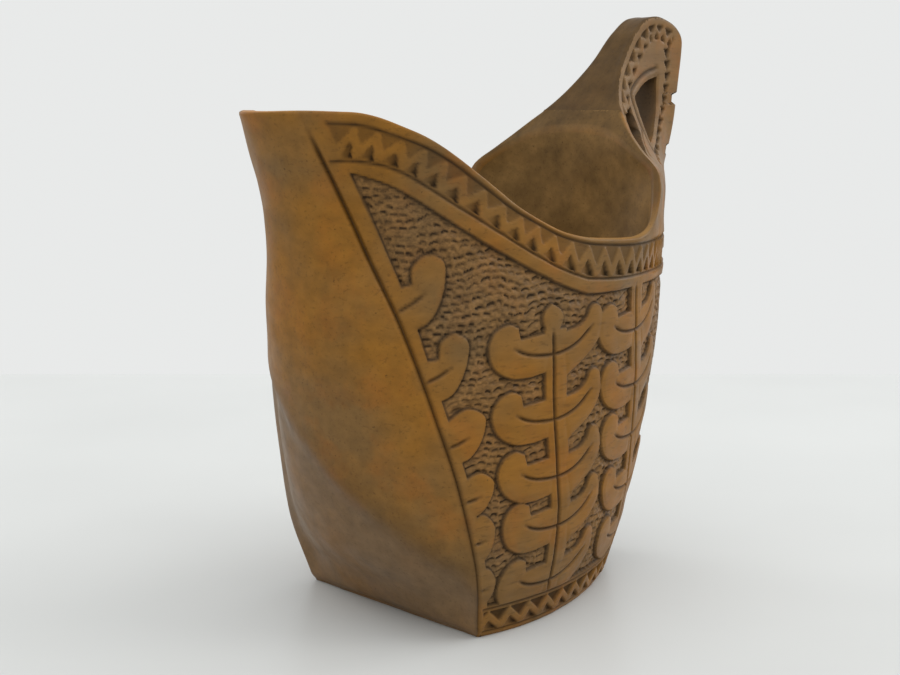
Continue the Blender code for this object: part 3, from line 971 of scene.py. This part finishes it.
def handle_shell():
    shell = Shell("carved_handle")
    share = np.linspace(0, 1, HANDLE_COLUMNS + 1)
    stations = STATIONS * (1 + share)
    top = rim_level(WOOD_FLANK, stations, EDGE_DROP)
    z = SEAT_Z + np.linspace(0, 1, HANDLE_ROWS + 1)[:, None] * (top - SEAT_Z)
    length = look_up(WOOD_FLANK, stations, z)[..., 2]
    behind_seat = length[:, -1:] - length[:, :1]
    pull = notch_pull(z) * smooth_step(0.72, 1.0, share) / behind_seat * STATIONS
    points, normals, along = surface(WOOD_FLANK, stations - pull, z)
    cut, behind, fall = carve_flank(points, along)
    y = points[..., 1]

    # the finger hole, with a thin band and a groove round its front and top
    hole = closed_outline([FINGER_HOLE[:3], FINGER_HOLE[2:4], FINGER_HOLE[3:] + FINGER_HOLE[:1]])
    from_hole = -inside_distance(y, z, hole)
    round_hole = v_cut(from_hole - HOLE_GROOVE, 0.6, 0.75)
    round_hole *= smooth_step(92.5, 90.5, y) * smooth_step(HANDLE_LINE - 0.3, HANDLE_LINE + 0.5, fall)
    in_pocket = inside_distance(y, z, np.array(POCKET))
    bar_line = v_cut(line_distance(y, z, np.array(BAR_LINE, float))[0], 0.5, 0.5)
    depth = np.maximum(np.maximum(cut["depth"], round_hole), bar_line)
    depth = depth * smooth_step(0, 0.8, from_hole) + worn_edge(np.clip(from_hole, 0, None))
    depth += worn_rim(points) + worn_edge(behind) + flank_work(points)
    depth = np.minimum(depth, np.clip(points[..., 0] - EAR_CORE, 0, None))
    side = points - normals * depth[..., None]
    side[..., 0] -= np.clip(side[..., 0] - POCKET_WEB, 0, None) * smooth_step(0, 0.5, in_pocket)

    removed = cut_cells(side, hole)
    snap_to_outline(side, removed, hole)
    # painted shade in the cuts, in the groove round the hole, in the bar's line and in the pocket
    dark = np.maximum(np.maximum(cut["dark"], 1.6 * round_hole), 1.6 * bar_line)
    dark = np.maximum(dark, 0.8 * smooth_step(-0.3, 0.0, in_pocket)) * smooth_step(0, 0.5, from_hole)
    shell.add_both(side, dark=dark, ground=cut["ground"], part=EAR, keep=~removed)
    line_hole(shell, side, removed)

    across = 2 * HANDLE_ACROSS
    mirror = side * (-1, 1, 1)
    front = between(side[-1], mirror[-1], across)
    width = np.abs(side[-1, :, 0]) * 2
    for i in range(1, across):
        front[i, :, 2] = top_height(front[i], np.minimum(i, across - i) / across * width)
    rear = between(side[:, -1], mirror[:, -1], across)
    rear[:, -1] = front[:, -1]
    shell.add(front, part=EAR_FRONT)
    shell.add(rear, part=EAR)
    shell.add(between(side[:, 0], mirror[:, 0], across), flat=True)
    shell.add(between(side[0], mirror[0], across), flat=True)
    return shell


def cut_cells(side, hole):
    """The cells of a side whose middles lie in the hole."""
    middle = 0.25 * (side[:-1, :-1] + side[1:, :-1] + side[:-1, 1:] + side[1:, 1:])
    return inside_distance(middle[..., 1], middle[..., 2], hole) > 0


def border_edges(removed):
    """Pairs of grid corners along the border of the removed cells."""
    edges = []
    for i, j in zip(*np.nonzero(removed)):
        neighbours = [(i - 1, j, (i, j), (i, j + 1)), (i + 1, j, (i + 1, j + 1), (i + 1, j)),
                      (i, j - 1, (i + 1, j), (i, j)), (i, j + 1, (i, j + 1), (i + 1, j + 1))]
        for k, m, start, end in neighbours:
            if not removed[k, m]:
                edges.append((start, end))
    return edges


def snap_to_outline(side, removed, hole):
    """Moves the corners round the cut onto the hole's outline."""
    closed = np.vstack([hole, hole[:1]])
    for corner in {corner for edge in border_edges(removed) for corner in edge}:
        y, z = side[corner][1:]
        best = None
        for start, end in zip(closed, closed[1:]):
            step = end - start
            t = np.clip(((y, z) - start) @ step / (step @ step), 0, 1)
            foot = start + t * step
            away = math.hypot(foot[0] - y, foot[1] - z)
            if best is None or away < best[0]:
                best = (away, foot)
        side[corner][1:] = best[1]


def line_hole(shell, side, removed):
    """The walls of the finger hole, from one side of the handle to the other."""
    # the walls are painted darker towards their middle, as shade inside the hole
    inner = 0.6 * np.sin(np.linspace(0, math.pi, 11)) ** 0.4
    for start, end in border_edges(removed):
        line = np.array([side[start], side[end]])
        walls = between(line, line * (-1, 1, 1), 10)
        shell.add(walls, dark=inner[:, None], part=EAR, flat=True)


def cup_bottom_shell():
    """The board let in from below: flat underneath, gouged on top."""
    shell = Shell("let_in_bottom")
    share = np.linspace(0, 1, 81)
    outline = outline_points(board_line(FIT_GAP), share[::4], share)
    edge = np.column_stack([outline, np.full(len(outline), BOTTOM_THICKNESS)])
    spine = edge * (0, 1, 1)
    top = between(spine, edge, 24)
    top[1:-1, 1:-1, 2] -= hand_work(top[1:-1, 1:-1], 0.35, 12.0, 41)
    below = edge * (1, 1, 0)
    shell.add_both(top, part=INSIDE)
    shell.add_both(between(edge, below, 4), part=INSIDE, flat=True)
    shell.add_both(between(below, below * (0, 1, 0), 6), part=INSIDE)
    return shell


# ---- materials -------------------------------------------------------------------------------
class Nodes:
    """Short calls for making and joining a material's nodes."""

    def __init__(self, material):
        self.tree = material.node_tree

    def make(self, kind, inputs=None, **settings):
        node = self.tree.nodes.new(kind)
        for name, value in settings.items():
            setattr(node, name, value)
        for key, value in (inputs or {}).items():
            self.give(node.inputs[key], value)
        return node

    def give(self, socket, value):
        if isinstance(value, bpy.types.NodeSocket):
            self.tree.links.new(value, socket)
        else:
            socket.default_value = value

    def attribute(self, name):
        return self.make("ShaderNodeAttribute", attribute_name=name).outputs["Fac"]

    def math(self, operation, *values):
        return self.make("ShaderNodeMath", dict(enumerate(values)), operation=operation).outputs[0]

    def product(self, first, *others):
        for other in others:
            first = self.math("MULTIPLY", first, other)
        return first

    def spread(self, value, low, high, to_low=0.0, to_high=1.0):
        inputs = {"Value": value, "From Min": low, "From Max": high, "To Min": to_low, "To Max": to_high}
        return self.make("ShaderNodeMapRange", inputs).outputs[0]

    def mix(self, share, first, second, blend="MIX"):
        node = self.make("ShaderNodeMix", data_type="RGBA", blend_type=blend)
        self.give(node.inputs[0], share)
        self.give(node.inputs[6], first)
        self.give(node.inputs[7], second)
        return node.outputs[2]

    def noise(self, vector, scale, detail=4.0, roughness=0.5):
        inputs = {"Vector": vector, "Scale": scale, "Detail": detail, "Roughness": roughness}
        return self.make("ShaderNodeTexNoise", inputs).outputs["Fac"]


def colour(red, green, blue):
    return (red, green, blue, 1.0)


WARM = colour(0.236, 0.102, 0.012)
ORANGE = colour(0.27, 0.092, 0.010)
PALE = colour(0.176, 0.094, 0.028)
DULL = colour(0.180, 0.102, 0.042)
# the ground's duller tan, which its painted crest highlights also take
GROUND_AND_CREST_TAN = colour(0.170, 0.100, 0.044)
# the pared facet's grey: partly the wood's greyer tone, partly a painted reflection of the pale room
GREY_AND_REFLECTION = colour(0.165, 0.103, 0.053)
HOLLOW = colour(0.195, 0.110, 0.036)
# the handle's front face is this darker brown
DARK_BROWN = colour(0.080, 0.044, 0.014)
TABLE = colour(0.60, 0.61, 0.605)
ROOM = colour(0.81, 0.82, 0.815)


def new_material(name):
    material = bpy.data.materials.new(name)
    material.use_nodes = True
    return material, material.node_tree.nodes["Principled BSDF"], Nodes(material)


def wood_material(name, warm, pale, inner, roughness):
    """Oiled carved wood: warm and greyer clouds, fine pores along the grain, recesses darkened by painted
    shade with some dirt, and painted highlights.
    """
    material, shader, nodes = new_material(name)
    place_in_wood = nodes.make("ShaderNodeTexCoord").outputs["Object"]
    grain_inputs = {"Vector": place_in_wood, "Scale": (1.0, 0.16, 1.0), "Rotation": (math.radians(8), 0, 0)}
    along_grain = nodes.make("ShaderNodeMapping", grain_inputs).outputs[0]
    nick_inputs = {"Vector": place_in_wood, "Scale": (1.0, 0.35, 1.0)}
    short_grain = nodes.make("ShaderNodeMapping", nick_inputs).outputs[0]

    clouds = nodes.spread(nodes.noise(place_in_wood, 32.0, 3.0, 0.55), 0.38, 0.62)
    tone = nodes.mix(clouds, warm, pale)
    patches = nodes.spread(nodes.noise(place_in_wood, 95.0, 4.0, 0.6), 0.50, 0.72, 0.0, 0.45)
    tone = nodes.mix(patches, tone, ORANGE)
    rings = nodes.spread(nodes.noise(along_grain, 330.0, 3.0, 0.6), 0.3, 0.7, 0.84, 1.12)
    pores = nodes.spread(nodes.noise(along_grain, 1500.0, 2.0, 0.6), 0.30, 0.42, 0.78, 1.0)
    specks = nodes.spread(nodes.noise(place_in_wood, 900.0, 2.0, 0.5), 0.22, 0.28, 0.55, 1.0)
    nicks = nodes.spread(nodes.noise(short_grain, 1300.0, 2.0, 0.6), 0.34, 0.66, 0.72, 1.22)

    # the value called dark becomes painted shade, with some dirt, in the cuts, and a painted highlight
    # where it is below zero
    cut = nodes.attribute("dark")
    ground = nodes.attribute("ground")
    dark = nodes.spread(cut, -0.5, 1.0, 1.5, 0.22)
    ground_shade = nodes.math("MULTIPLY_ADD", nodes.math("ADD", nicks, -1.0), ground, 1.0)
    part = nodes.attribute("part")
    # the flanks, the ear and the inside are painted 5% darker than the prow, as shade
    part_shade = nodes.spread(part, 0.0, FLANK, 1.0, 0.95)
    shade = nodes.product(rings, pores, specks, dark, ground_shade, part_shade)
    # the prow's pared facet turns grey, partly as a painted reflection
    grey_share = nodes.product(nodes.attribute("grey"), nodes.spread(clouds, 0.0, 1.0, 0.65, 0.95))
    tone = nodes.mix(grey_share, tone, GREY_AND_REFLECTION)
    tone = nodes.mix(nodes.product(ground, 0.5), tone, GROUND_AND_CREST_TAN)
    inside = nodes.spread(part, 0.9, INSIDE, 0.0, 0.92)
    tone_shift = nodes.spread(nodes.noise(place_in_wood, 120.0, 4.0, 0.6), 0.3, 0.7, 0.7, 1.3)
    tone = nodes.mix(inside, tone, nodes.mix(1.0, inner, tone_shift, "MULTIPLY"))
    tone = nodes.mix(1.0, tone, shade, "MULTIPLY")
    nodes.give(shader.inputs["Base Color"], tone)

    smears = nodes.noise(place_in_wood, 160.0, 3.0, 0.6)
    gloss = nodes.spread(smears, 0.3, 0.7, roughness - 0.07, roughness + 0.1)
    gloss = nodes.math("ADD", gloss, nodes.spread(cut, 0.2, 1.0, 0.0, 0.2))
    nodes.give(shader.inputs["Roughness"], gloss)
    nodes.give(shader.inputs["Specular IOR Level"], nodes.spread(inside, 0.0, 1.0, 0.18, 0.10))
    fine = nodes.math("ADD", nodes.product(rings, 0.8), pores)
    fine = nodes.math("ADD", fine, nodes.product(ground_shade, 1.5))
    bump = nodes.make("ShaderNodeBump", {"Height": fine, "Strength": 0.35, "Distance": 0.12 * MM})
    nodes.give(shader.inputs["Normal"], bump.outputs[0])
    return material


def plain_material(name, tint, roughness, specular):
    material, shader, nodes = new_material(name)
    where = nodes.make("ShaderNodeTexCoord").outputs["Object"]
    cloud = nodes.spread(nodes.noise(where, 9.0, 3.0), 0.3, 0.7, 0.97, 1.02)
    nodes.give(shader.inputs["Base Color"], nodes.mix(1.0, tint, cloud, "MULTIPLY"))
    nodes.give(shader.inputs["Roughness"], roughness)
    nodes.give(shader.inputs["Specular IOR Level"], specular)
    return material


# ---- camera, light and floor ------------------------------------------------------------------
LIGHTS = [
    # name, place, width, power and tint
    ("window_right", (0.8, 0.6, 0.85), 0.5, 2.6, (1.0, 0.99, 0.97)),
    ("window_left", (-0.9, -0.2, 0.45), 0.5, 1.6, (1.0, 1.0, 1.0)),
    ("window_behind", (0.35, 1.0, 0.6), 0.6, 2.6, (1.0, 1.0, 1.0)),
    ("overhead", (0.2, -0.2, 1.2), 1.5, 6.0, (1.0, 1.0, 0.98)),
]
LIT_POINT = Vector((0.0, 0.0, 0.06))


def view_direction(pitch):
    """The way the camera looks, for a pitch below the level."""
    bearing = math.radians(CAMERA_BEARING)
    pitch = math.radians(pitch)
    level = math.cos(pitch)
    return Vector((-math.sin(bearing) * level, math.cos(bearing) * level, -math.sin(pitch)))


def aim(item, direction):
    item.rotation_mode = "QUATERNION"
    item.rotation_quaternion = direction.to_track_quat("-Z", "Y")


def make_camera():
    """The photograph's view: from in front and to the right, a little above the rim."""
    camera = bpy.data.objects.new("camera", bpy.data.cameras.new("camera"))
    bpy.context.scene.collection.objects.link(camera)
    camera.data.sensor_width = 36.0
    camera.data.lens = CAMERA_LENS
    camera.location = CAMERA_PLACE
    aim(camera, view_direction(CAMERA_PITCH))
    bpy.context.scene.camera = camera


def area_light(name, position, size, power, tint):
    light = bpy.data.lights.new(name, "AREA")
    light.shape = "DISK"
    light.size = size
    light.energy = power
    light.color = tint
    lamp = bpy.data.objects.new(name, light)
    lamp.location = position
    aim(lamp, LIT_POINT - Vector(position))
    bpy.context.scene.collection.objects.link(lamp)


def make_lights():
    bpy.context.scene.view_settings.view_transform = "Standard"
    world = bpy.data.worlds.new("pale_room")
    world.use_nodes = True
    background = world.node_tree.nodes["Background"]
    background.inputs["Color"].default_value = ROOM
    background.inputs["Strength"].default_value = 1.0
    bpy.context.scene.world = world
    for light in LIGHTS:
        area_light(*light)


def make_floor():
    """A pale table top. Its far edge is straight across the photograph's view."""
    middle = view_direction(0) * (TABLE_EDGE - 0.5 * TABLE_SIZE)
    bpy.ops.mesh.primitive_plane_add(size=TABLE_SIZE, location=(middle.x, middle.y, -0.0001))
    floor = bpy.context.active_object
    floor.rotation_euler.z = math.radians(CAMERA_BEARING)
    floor.name = "floor"
    floor.data.materials.append(plain_material("pale_table", TABLE, 0.35, 0.2))


def finish_piece(shell, material, node):
    piece = shell.build(material)
    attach(piece, "root")
    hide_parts(node)


make_camera()
make_lights()
make_floor()
body_wood = wood_material("body_wood_carved", WARM, PALE, HOLLOW, 0.46)
handle_wood = wood_material("handle_wood_carved", PALE, DULL, DARK_BROWN, 0.48)
bottom_wood = wood_material("bottom_wood_gouged", HOLLOW, HOLLOW, HOLLOW, 0.55)
finish_piece(cup_body_shell(), body_wood, "cup_body")
finish_piece(handle_shell(), handle_wood, "handle")
finish_piece(cup_bottom_shell(), bottom_wood, "cup_bottom")
